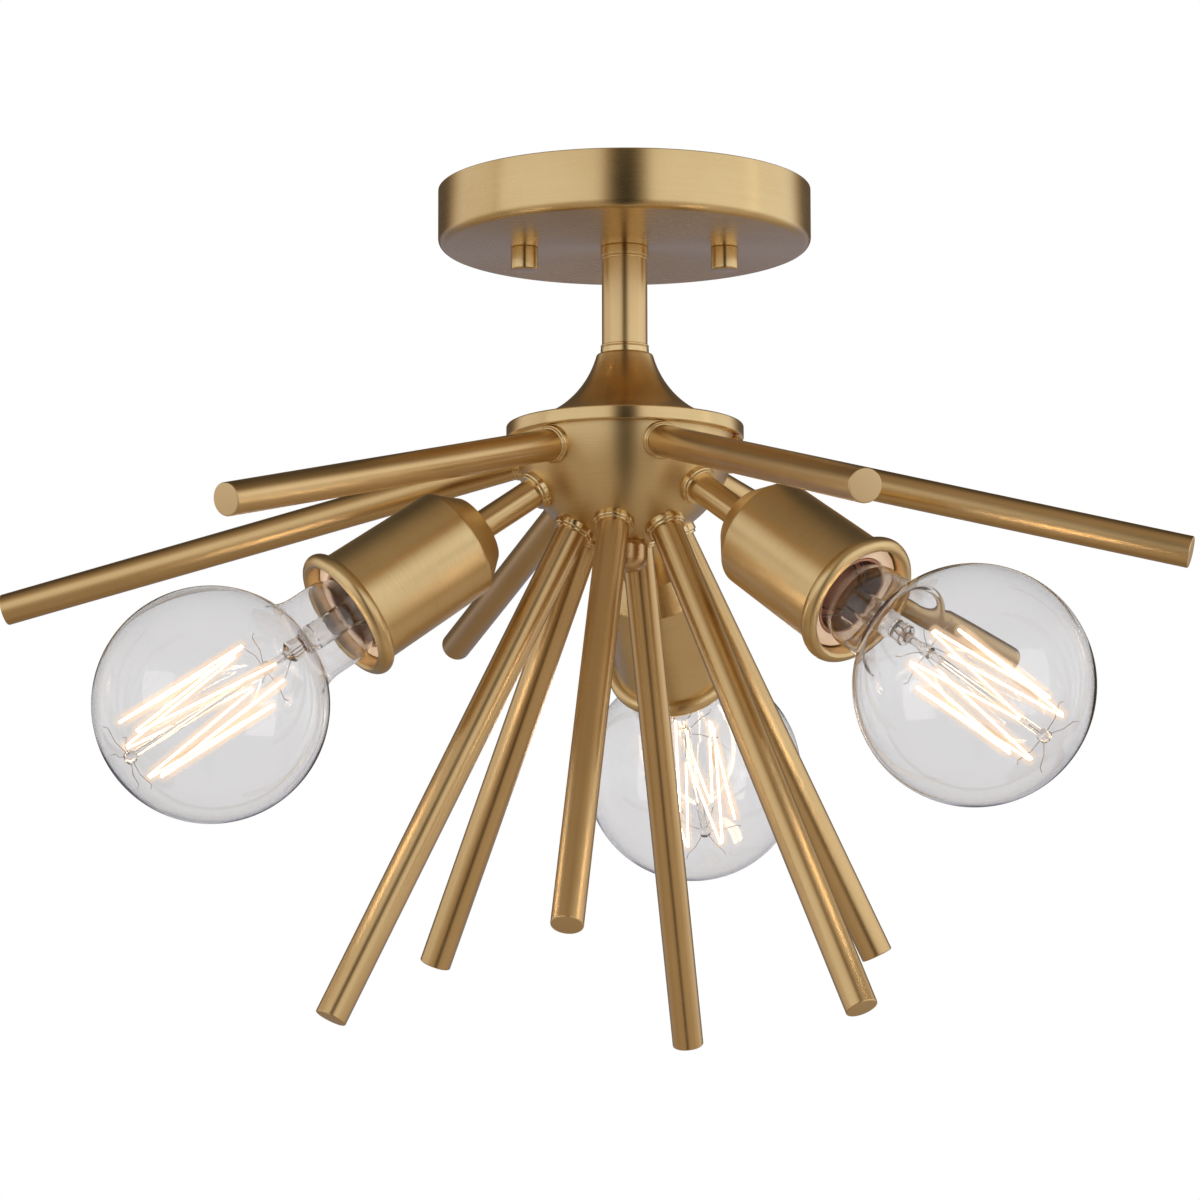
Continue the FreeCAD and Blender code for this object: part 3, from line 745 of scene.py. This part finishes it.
def steps_between(r, low, high):
    """Evenly spaced points up or down a straight wall, close enough to carry a thread."""
    count = max(2, round(abs(high - low) / thread_sampling))
    return [(r, low + (high - low) * place / count) for place in range(count + 1)]


shell_copper = satin_brass("shell_copper", (3.0, 3.0, 900.0), (0.66, 0.36, 0.25, 1),
                           (0.80, 0.48, 0.34, 1), roughness=0.55, coat=0.0)
wall_back, wall_front = holder_floor + 2, shell_front - 1.2
shell_mesh = turned("screw_shell", outline(
    (shell_hole_r, shell_floor_top),
    (shell_hole_r, holder_floor),
    (shell_r + shell_wall, holder_floor, roll_edge),
    *steps_between(shell_r + shell_wall, wall_back, wall_front),
    (shell_r + shell_roll, shell_front - shell_roll_back, roll_edge),
    (shell_r + shell_roll, shell_front + shell_roll_front, roll_edge),
    (shell_r, shell_front + shell_roll_front, 0.25),
    *steps_between(shell_r, wall_front, wall_back),
    (shell_r, shell_floor_top)), around=72)
threaded(shell_mesh, holder_floor + 3, shell_front - 8, thread_depth)
shells = along_arms(shell_mesh, shell_copper)
show("screw_shells", shells, shell_copper, "fixture", "shell_copper",
     "screw_shell_right", "screw_shell_left", "screw_shell_back")
contact_mesh = turned("contact", outline(
    (0, holder_floor),
    (contact_r, holder_floor),
    (contact_r, holder_floor + contact_height, contact_edge),
    (0, holder_floor + contact_height)), around=48)
contacts = along_arms(contact_mesh, shell_copper)
show("contacts", contacts, shell_copper, "fixture", "shell_copper", "center_contacts")


# ---- Bulb glass ----
# A clear blown globe on a short neck, with a thin wall. The lower end of the neck is cemented
# into the screw base.
globe_r = 40.0
glass_wall = 0.7
globe_station = 179.98
glass_end = 111.83
glass_end_r = 13.0
glass_end_edge = 1.2
glass_end_length = 8.5
neck_glass_r = 15.2
neck_glass_start = 14.0
neck_glass_edge = 3.0
flare_width = 3.6
flare_length = 6
flare_end = 1.5
glass_tone = (0.845, 0.84, 0.845, 1)

clear_glass, nodes = new_material("clear_glass")
place = nodes.add("ShaderNodeTexCoord", output="Object")
ripple = nodes.noise(place, 24.0, detail=1.0)
glass_relief = nodes.add("ShaderNodeBump", {}, {
    "Strength": 0.6, "Distance": 0.0008, "Height": ripple})
glass_shader = nodes.add("ShaderNodeBsdfPrincipled", {}, {
    "Base Color": glass_tone, "Roughness": 0.0, "IOR": 1.47, "Transmission Weight": 1.0,
    "Normal": glass_relief})
clear_shadow = nodes.add("ShaderNodeBsdfTransparent", {}, {"Color": glass_tone})
is_shadow = nodes.add("ShaderNodeLightPath", output="Is Shadow Ray")
glass_mix = nodes.add("ShaderNodeMixShader", {}, {0: is_shadow, 1: glass_shader, 2: clear_shadow})
nodes.add("ShaderNodeOutputMaterial", {}, {"Surface": glass_mix})


def glass_side(shrink):
    """Points up the bulb's wall, from the end in the base to the top of the globe."""
    ball = globe_r - shrink
    neck = neck_glass_r - shrink
    join_r = neck + flare_width
    join = globe_station - math.sqrt(ball ** 2 - join_r ** 2)
    knee = globe_station - math.sqrt(ball ** 2 - neck ** 2) - flare_end
    flare = []
    for share in [step / 10 for step in range(11)]:
        flare.append((neck + (join_r - neck) * share ** 2,
                      knee - flare_length + (join - knee + flare_length) * (1 - (1 - share) ** 1.5)))
    ball_points = ball_arc(globe_station, ball, join - globe_station, ball, 72)[1:-1]
    return outline(
        (glass_end_r - shrink, glass_end + shrink, glass_end_edge),
        (glass_end_r - shrink, glass_end + glass_end_length, neck_glass_edge),
        (neck, glass_end + neck_glass_start, neck_glass_edge),
        *flare,
        *ball_points,
        (0, globe_station + ball),
        (0, glass_end + shrink))[:-1]


# ---- Bulb base ----
# A screw base of thin plated metal holds the glass. Its upper end is dull and coppery where the
# glass is cemented in, and it narrows to a soldered contact at its lower end.
base_tip = holder_floor + 1.1
base_foot = base_tip + 1.4
base_thread = base_foot + 3.0
base_r = 12.6
base_foot_r = 7.0
base_foot_edge = 0.5
solder_r = 4.6
solder_edge = 0.8

base_metal = satin_brass("base_metal", (3.0, 3.0, 1500.0), (0.42, 0.33, 0.22, 1),
                         (0.60, 0.50, 0.36, 1), roughness=0.25, coat=0.0,
                         end_disc=base_r * MM, end_colour=(0.62, 0.32, 0.22, 1))
base_outline = outline(
    (0, glass_end),
    (base_r, glass_end),
    *steps_between(base_r, glass_end - 0.3, base_thread + 1),
    (base_r, base_thread, solder_edge),
    (base_foot_r, base_foot, base_foot_edge),
    (solder_r, base_foot),
    (solder_r, base_tip, solder_edge),
    (0, base_tip))


# ---- Filament, its stem and its wires ----
# A glass stem stands in the neck. Its pinched top holds a thin glass rod with a button near
# each end, and fine wires from the buttons hold the bends of the glowing filament.
cage_near = 157.0
cage_far = 213.5
cage_r = 12.0
cage_bends = 11
cage_span = math.radians(330)
bend_fillet = 0.0005
filament_r = 0.4
glow_r = 3.0
support_r = 0.13
stem_tube_r = 4.7
stem_glass_wall = 0.7
press_top = 147.0
rod_glass_r = 1.35
button_r = 2.2

cage_tree, cage_sockets = new_tree("filament_cage", {
    "Geometry": "Geometry", "Bends": "Int", "Span": "Float", "Near": "Float", "Length": "Float",
    "Cage Radius": "Float", "Wire Radius": "Float", "Finish": "Material"})
nodes = Nodes(cage_tree)
given = {socket.name: Wire(nodes, socket) for socket in cage_tree.nodes.new("NodeGroupInput").outputs}
bend_number = nodes.add("GeometryNodeInputIndex")
odd = bend_number.worked("MODULO", bend_number, 2.0)
bend_turn = bend_number * given["Span"] / (given["Bends"] - 1)
bend_x = bend_turn.worked("COSINE", bend_turn) * given["Cage Radius"]
bend_y = bend_turn.worked("SINE", bend_turn) * given["Cage Radius"]
bend_spot = nodes.add("ShaderNodeCombineXYZ", {}, {
    "X": bend_x, "Y": bend_y, "Z": given["Near"] + odd * given["Length"]})
chain = nodes.add("GeometryNodeMeshLine", {}, {"Count": given["Bends"]})
zigzag = nodes.add("GeometryNodeSetPosition", {}, {"Geometry": chain, "Position": bend_spot})
wire_line = nodes.add("GeometryNodeMeshToCurve", {}, {"Mesh": zigzag})
eased = nodes.add("GeometryNodeFilletCurve", {}, {"Curve": wire_line, "Radius": bend_fillet})
section = nodes.add("GeometryNodeCurvePrimitiveCircle", {}, {
    "Resolution": 8, "Radius": given["Wire Radius"]})
wire_tube = nodes.add("GeometryNodeCurveToMesh", {}, {
    "Curve": eased, "Profile Curve": section, "Fill Caps": True})
whole = nodes.add("GeometryNodeRealizeInstances", {}, {0: wire_tube})
finished = nodes.add("GeometryNodeSetMaterial", {}, {"Geometry": whole, "Material": given["Finish"]})
nodes.add("NodeGroupOutput", {}, {"Geometry": finished})


def cage_wire(radius, finish):
    """The filament's zigzag, as a wire of this radius."""
    return run_tree(cage_tree, cage_sockets, bpy.data.meshes.new("cage"), {
        "Bends": cage_bends, "Span": cage_span, "Near": cage_near * MM,
        "Length": (cage_far - cage_near) * MM, "Cage Radius": cage_r * MM,
        "Wire Radius": radius * MM, "Finish": finish})


glowing, nodes = new_material("glowing_filament")
place = nodes.add("ShaderNodeTexCoord", output="Object")
hot = nodes.between(nodes.noise(place, 300.0), 0.35, 0.65)
heat = nodes.tint(hot, (1.0, 0.72, 0.42, 1), (1.0, 0.86, 0.62, 1))
glow_shader = nodes.add("ShaderNodeBsdfPrincipled", {}, {
    "Base Color": (0.9, 0.6, 0.3, 1), "Roughness": 0.6, "Emission Color": heat,
    "Emission Strength": 13.0})
nodes.add("ShaderNodeOutputMaterial", {}, {"Surface": glow_shader})

halo, nodes = new_material("filament_halo")
facing = nodes.add("ShaderNodeLayerWeight", {}, {"Blend": 0.5}, output="Facing")
thin = nodes.between(facing, 0.0, 0.6, 0.38, 0.0)
halo_shader = nodes.add("ShaderNodeBsdfPrincipled", {}, {
    "Base Color": (0, 0, 0, 1), "Roughness": 1.0, "Specular IOR Level": 0.0, "Alpha": thin,
    "Emission Color": (1.0, 0.70, 0.45, 1), "Emission Strength": 1.5})
nodes.add("ShaderNodeOutputMaterial", {}, {"Surface": halo_shader})

stem_glass, nodes = new_material("stem_glass")
place = nodes.add("ShaderNodeTexCoord", output="Object")
pinch = nodes.noise(place, 160.0, detail=2.0)
pinch_relief = nodes.add("ShaderNodeBump", {}, {
    "Strength": 0.7, "Distance": 0.0006, "Height": pinch})
stem_shader = nodes.add("ShaderNodeBsdfPrincipled", {}, {
    "Base Color": (0.90, 0.87, 0.85, 1), "Roughness": 0.03, "IOR": 1.5, "Transmission Weight": 1.0,
    "Normal": pinch_relief})
nodes.add("ShaderNodeOutputMaterial", {}, {"Surface": stem_shader})

wire_metal, nodes = new_material("support_wire")
place = nodes.add("ShaderNodeTexCoord", output="Object")
oxide = nodes.noise(place, 260.0, detail=2.0)
wire_colour = nodes.tint(oxide, (0.30, 0.22, 0.18, 1), (0.52, 0.42, 0.34, 1))
wire_shader = nodes.add("ShaderNodeBsdfPrincipled", {}, {
    "Base Color": wire_colour, "Metallic": 1.0, "Roughness": oxide * 0.3 + 0.25})
nodes.add("ShaderNodeOutputMaterial", {}, {"Surface": wire_shader})


def tube_along(points, radius, sides=6):
    """A round wire along a few points, as one list of vertices and one of faces."""
    vertices, faces = [], []
    for place, point in enumerate(points):
        behind = Vector(points[max(place - 1, 0)])
        ahead = Vector(points[min(place + 1, len(points) - 1)])
        run = (ahead - behind).normalized()
        across = run.orthogonal().normalized()
        other = run.cross(across)
        for side in range(sides):
            turn = math.tau * side / sides
            outward = across * math.cos(turn) + other * math.sin(turn)
            vertices.append(Vector(point) + outward * radius)
    for place in range(len(points) - 1):
        for side in range(sides):
            low, next_low = place * sides + side, place * sides + (side + 1) % sides
            faces.append((low, next_low, next_low + sides, low + sides))
    faces.append(tuple(range(sides))[::-1])
    faces.append(tuple(range((len(points) - 1) * sides, len(points) * sides)))
    return vertices, faces


def support_wires():
    """Wires from the two buttons to the filament's bends, and the two lead wires."""
    vertices, faces = [], []
    for bend in range(cage_bends):
        turn = cage_span * bend / (cage_bends - 1)
        station = cage_far if bend % 2 else cage_near
        reach = Vector((math.cos(turn), math.sin(turn), 0))
        outward = 1 if bend % 2 else -1
        inner = reach * (button_r - 0.4) + Vector((0, 0, station))
        outer = reach * (cage_r + 0.3) + Vector((0, 0, station + outward * 0.3))
        hook = reach * (cage_r + 1.6) + Vector((0, 0, station + outward * 1.4))
        middle = (inner + outer) / 2 + Vector((0, 0, outward * 0.9))
        path = [inner, middle, outer, hook]
        if bend in (0, cage_bends - 1):
            path = [reach * 1.6 + Vector((0, 0, press_top - 6)),
                    reach * 2.4 + Vector((0, 0, press_top)),
                    outer]
        made, made_faces = tube_along(path, support_r)
        faces += [tuple(index + len(vertices) for index in face) for face in made_faces]
        vertices += made
    mesh = bpy.data.meshes.new("support_wires")
    mesh.from_pydata([vertex * MM for vertex in vertices], [], faces)
    mesh.shade_smooth()
    return mesh


bore_r = stem_tube_r - stem_glass_wall
stem_foot = glass_end + 1.0
stem_points = outline(
    # the bore, from its closed top down to the foot
    (0, press_top - 9.5), (bore_r, press_top - 9.5, 1.0), (bore_r, glass_end + 9.2, 3.6),
    (8.4, stem_foot),
    # the outside, from the foot up to the pinched top
    (9.0, stem_foot), (stem_tube_r, glass_end + 9.0, 4.0), (stem_tube_r, press_top - 8.0, 1.0),
    (3.4, press_top - 6.0, 1.0), (3.9, press_top - 0.5, 1.2),
    # the thin rod with its two buttons
    (rod_glass_r, press_top + 1.5, 1.2), (rod_glass_r, cage_near - 2.6, 0.4),
    (button_r, cage_near - 1.6, 0.8), (button_r, cage_near + 1.4, 0.8),
    (rod_glass_r, cage_near + 2.4, 0.4), (rod_glass_r, cage_far - 2.4, 0.4),
    (button_r, cage_far - 1.4, 0.8), (button_r, cage_far + 1.4, 1.0), (0, cage_far + 2.0))

for side, turn in socket_turns.items():
    glass_points = glass_side(0) + glass_side(glass_wall)[::-1]
    base_mesh = turned("base", base_outline, around=72)
    threaded(base_mesh, base_thread + 0.5, glass_end - 2.5, thread_depth)
    for piece, mesh, finish, slot, nodes_shown in (
            ("globe", turned("globe", glass_points, around=144), clear_glass, "clear_glass",
             ["glass"]),
            ("base", base_mesh, base_metal, "bulb_base", ["base"]),
            ("glass_stem", turned("glass_stem", stem_points, around=40), stem_glass, "stem_glass",
             ["stem"]),
            ("wires", support_wires(), wire_metal, "support_wire", ["supports"]),
            ("filament", cage_wire(filament_r, glowing), glowing, "glowing_filament", ["filament"]),
            ("halo", cage_wire(glow_r, halo), halo, "glowing_filament", [])):
        placed = round_the_hub(mesh, finish, 1, turn, socket_drop, upper_centre)
        show(f"{piece}_{side}", placed, finish, f"{side}_bulb", slot,
             *[f"bulb_{side}_{node}" for node in nodes_shown])


# ---- Room ----
# A pale floor far below the lamp, a white background, and the broad soft boxes of a studio
# that the brass mirrors: bright to both sides, dark behind the camera and overhead. Two soft
# lamps stand at the front, and each bulb sheds a little warm light.
floor_height = -4.8
floor_half = 30.0

floor_paint, nodes = new_material("pale_floor")
seen = nodes.add("ShaderNodeLightPath", output="Is Camera Ray")
through_glass = nodes.add("ShaderNodeLightPath", output="Is Transmission Ray")
seen = seen.worked("MAXIMUM", seen, through_glass)
floor_colour = nodes.tint(seen, (0.45, 0.41, 0.38, 1), (0.93, 0.93, 0.93, 1))
floor_shader = nodes.add("ShaderNodeBsdfPrincipled", {}, {
    "Base Color": floor_colour, "Roughness": 0.8})
nodes.add("ShaderNodeOutputMaterial", {}, {"Surface": floor_shader})

floor_mesh = bpy.data.meshes.new("floor")
floor_mesh.from_pydata([(x * floor_half, y * floor_half, floor_height) for x, y in
                        ((-1, -1), (1, -1), (1, 1), (-1, 1))], [], [(0, 1, 2, 3)])
floor_mesh.materials.append(floor_paint)
floor = bpy.data.objects.new("floor", floor_mesh)
floor.visible_glossy = False
bpy.context.collection.objects.link(floor)

world = bpy.data.worlds.new("studio")
world.use_nodes = True
bpy.context.scene.world = world
nodes = Nodes(world.node_tree)
sky = nodes.add("ShaderNodeTexCoord", output="Generated")
split = nodes.add("ShaderNodeSeparateXYZ", {}, {0: sky})
east, north, high = (Wire(nodes, split.socket.node.outputs[axis]) for axis in "XYZ")
level_square = east * east + north * north + 0.0001
level_reach = level_square.worked("SQRT", level_square)
toward_front = (0 - north) / level_reach

# a dark gap between the two boxes, in front
boxes = nodes.between(toward_front, 0.9985, 0.957, 0.0, 0.88)
boxes = boxes * nodes.between(toward_front, 0.3, 0.0, 1.0, 1.1)
boxes = boxes * nodes.between(east, -0.5, 0.5, 0.98, 1.07)

# a dark seam in the left box, a bright strip in the right one, and a weaker wing past each
off_seam = (toward_front - 0.07).worked("ABSOLUTE", toward_front - 0.07)
seam = nodes.between(off_seam, 0.02, 0.08, 1.0, 0.0)
boxes = boxes * (1 + seam * nodes.between(east, -0.2, 0.2, -0.38, 0.13))
wing = nodes.between(toward_front, 0.04, -0.02)
boxes = boxes * (1 - wing * nodes.between(east, -0.2, 0.2, 0.22, 0.12))

# a dim far side with a somewhat lighter floor, and everything weaker toward the ground
far_side = nodes.between(toward_front, -0.50, -0.82)
far_floor = nodes.between(high, 0.06, -0.08)
deep_floor = nodes.between(high, -0.30, -0.52)
boxes = boxes * (1 - far_side * (0.88 - far_floor * 0.27 - deep_floor * 0.33))
boxes = boxes * nodes.between(high, 0.05, -0.5, 1.0, 0.5)

# a dark ceiling, and the warm tone of weak light
overhead = nodes.between(high, 0.35, 0.75)
studio_level = boxes * (1 - overhead) + overhead * nodes.between(north, -0.5, 0.5, 0.33, 0.05)
bright_share = nodes.between(studio_level, 0.25, 0.90)
mirrored = nodes.tint(bright_share, (1.0, 0.77, 0.53, 1), (1.0, 1.0, 1.0, 1))
mirrored = nodes.tint(far_side * far_floor * (1 - deep_floor), mirrored, (1.0, 0.96, 1.2, 1))
mirrored = nodes.add("ShaderNodeVectorMath", {"operation": "SCALE"}, {
    0: mirrored, "Scale": studio_level})

# mirrors see the studio, the eye and the glass see white, and all else gets an even soft light
ray_outputs = nodes.add("ShaderNodeLightPath").socket.node.outputs
seen, shiny, through_glass = (Wire(nodes, ray_outputs[f"Is {kind} Ray"])
                              for kind in ("Camera", "Glossy", "Transmission"))
clear_view = seen.worked("MAXIMUM", seen, through_glass)
sky_shader = nodes.add("ShaderNodeBackground", {}, {"Color": mirrored, "Strength": 1.0})
white_shader = nodes.add("ShaderNodeBackground", {}, {"Color": (1, 1, 1, 1), "Strength": 1.0})
soft_shader = nodes.add("ShaderNodeBackground", {}, {"Color": (1.0, 0.985, 0.97, 1), "Strength": 0.8})
lit = nodes.add("ShaderNodeMixShader", {}, {0: shiny, 1: soft_shader, 2: sky_shader})
whole_sky = nodes.add("ShaderNodeMixShader", {}, {0: clear_view, 1: lit, 2: white_shader})
nodes.add("ShaderNodeOutputWorld", {}, {"Surface": whole_sky})

soft_box_size = 1.1
lamp_middle = Vector((0, 0, -0.15))
for name, place, power in (("left_box", (-1.6, -1.3, 0.1), 9.0),
                           ("right_box", (1.6, -1.2, 0.1), 8.0)):
    lamp_data = bpy.data.lights.new(name, "AREA")
    lamp_data.energy = power
    lamp_data.size = soft_box_size
    lamp_data.color = (1.0, 0.96, 0.9)
    lamp = bpy.data.objects.new(name, lamp_data)
    lamp.visible_camera = False
    lamp.visible_glossy = False
    facing_lamp = (lamp_middle - Vector(place)).to_track_quat("-Z", "Y").to_matrix().to_4x4()
    lamp.matrix_world = Matrix.Translation(place) @ facing_lamp
    bpy.context.collection.objects.link(lamp)

glow_station = (cage_near + cage_far) / 2 * MM
glow_reach = math.cos(socket_drop) * glow_station
for side, turn in socket_turns.items():
    bulb_data = bpy.data.lights.new(f"bulb_light_{side}", "POINT")
    bulb_data.energy = 0.25
    bulb_data.color = (1.0, 0.72, 0.48)
    bulb_data.shadow_soft_size = 0.02
    bulb_light = bpy.data.objects.new(f"bulb_light_{side}", bulb_data)
    bulb_light.location = (math.sin(math.radians(turn)) * glow_reach,
                           -math.cos(math.radians(turn)) * glow_reach,
                           upper_centre * MM - math.sin(socket_drop) * glow_station)
    bulb_light.visible_camera = False
    bulb_light.visible_glossy = False
    bulb_light.visible_transmission = False
    bpy.context.collection.objects.link(bulb_light)
